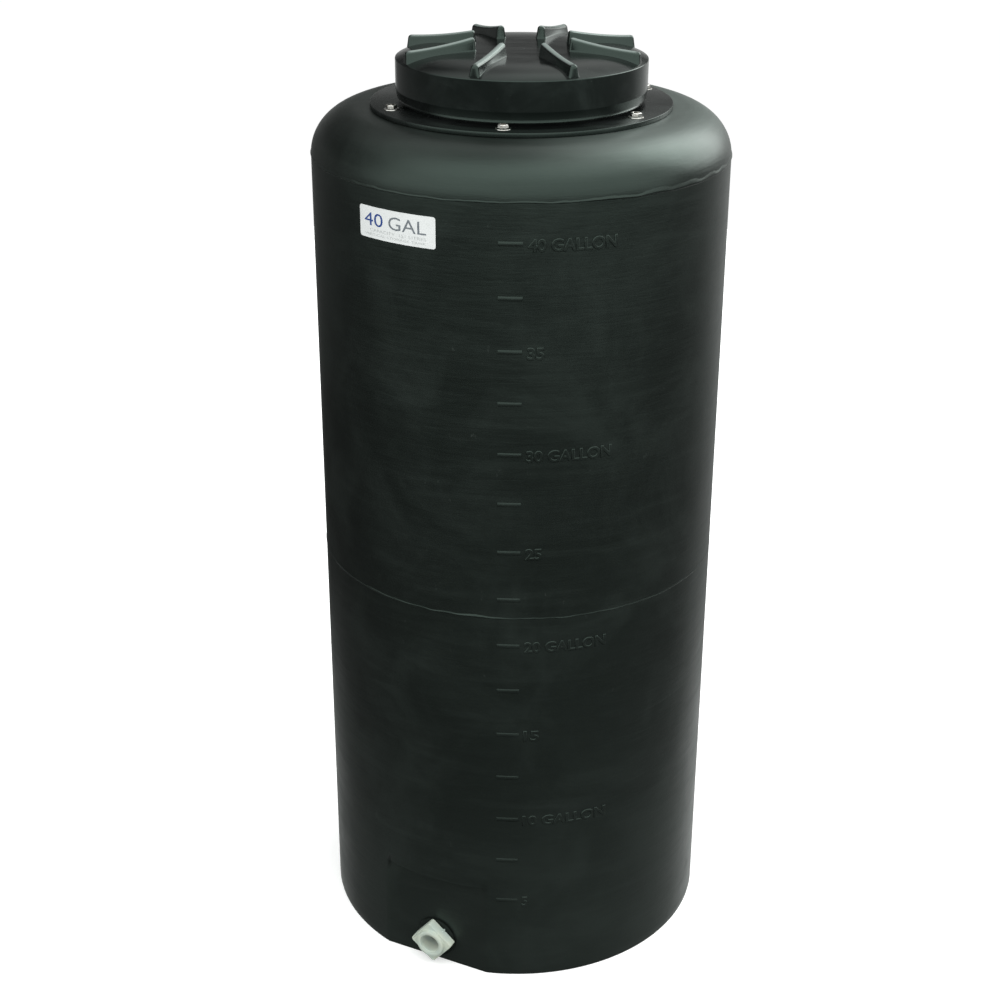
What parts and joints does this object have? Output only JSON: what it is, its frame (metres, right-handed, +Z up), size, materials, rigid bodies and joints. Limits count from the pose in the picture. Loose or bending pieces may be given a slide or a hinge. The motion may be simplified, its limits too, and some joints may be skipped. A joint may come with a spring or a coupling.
{
  "type": "vertical plastic storage tank",
  "caption": "Upright cylindrical liquid storage tank in black moulded plastic, with a domed shoulder, bolted manway ring, ribbed screw lid and a low white outlet fitting.",
  "frame": {"origin": "centre of the tank's round underside, on the tank's axis, at floor level", "axes": "+Z up along the tank's axis; -Y is the front, where the level marks are; +X is to the right seen from the front"},
  "size_m": [0.4718, 0.4718, 1.0952],
  "materials": {
    "black_polyethylene": "satin moulded polyethylene, scuffed, with a pale bloom on the shoulder",
    "gloss_black": "glossy injection-moulded black",
    "white_plastic": "natural white polypropylene, slightly translucent",
    "rubber": "matt",
    "stainless_steel": "bright plain stainless"
  },
  "bodies": {
    "tank": {"tank_floor": "black_polyethylene", "wall_front_right": "black_polyethylene", "wall_right_front": "black_polyethylene", "wall_right_back": "black_polyethylene", "wall_back_right": "black_polyethylene", "wall_back_left": "black_polyethylene", "wall_left_back": "black_polyethylene", "wall_left_front": "black_polyethylene", "wall_front_left": "black_polyethylene", "outlet_panel": "black_polyethylene", "shoulder_front_right": "black_polyethylene", "shoulder_right_front": "black_polyethylene", "shoulder_right_back": "black_polyethylene", "shoulder_back_right": "black_polyethylene", "shoulder_back_left": "black_polyethylene", "shoulder_left_back": "black_polyethylene", "shoulder_left_front": "black_polyethylene", "shoulder_front_left": "black_polyethylene", "manway_ring": "gloss_black", "bolt_1": "stainless_steel", "bolt_2": "stainless_steel", "bolt_3": "stainless_steel", "bolt_4": "stainless_steel", "bolt_5": "stainless_steel", "bolt_6": "stainless_steel", "washer_1": "stainless_steel", "washer_2": "stainless_steel", "washer_3": "stainless_steel", "washer_4": "stainless_steel", "washer_5": "stainless_steel", "washer_6": "stainless_steel", "nut_1": "stainless_steel", "nut_2": "stainless_steel", "nut_3": "stainless_steel", "nut_4": "stainless_steel", "nut_5": "stainless_steel", "nut_6": "stainless_steel", "outlet_fitting": "white_plastic", "outlet_nut": "white_plastic", "outlet_gasket": "rubber"},
    "lid_seal": {"lid_seal": "rubber"},
    "lid": {"lid_top": "gloss_black", "lid_skirt": "gloss_black", "lid_grip_1": "gloss_black", "lid_grip_2": "gloss_black", "lid_grip_3": "gloss_black", "lid_grip_4": "gloss_black", "lid_grip_5": "gloss_black", "lid_grip_6": "gloss_black", "lid_grip_7": "gloss_black", "lid_grip_8": "gloss_black"}
  },
  "joints": [
    {"name": "lid_turn", "type": "hinge", "parent": "tank", "child": "lid_seal", "pos_m": [0, 0, 1.061], "axis": [0, 0, 1], "range_deg": [0, 720]},
    {"name": "lid_rise", "type": "slide", "parent": "lid_seal", "child": "lid", "axis": [0, 0, 1], "range_m": [0, 0.02]}
  ],
  "couplings": [
    {"joint": "lid_rise", "follows": "lid_turn", "m_per_rad": 0.0015915}
  ]
}
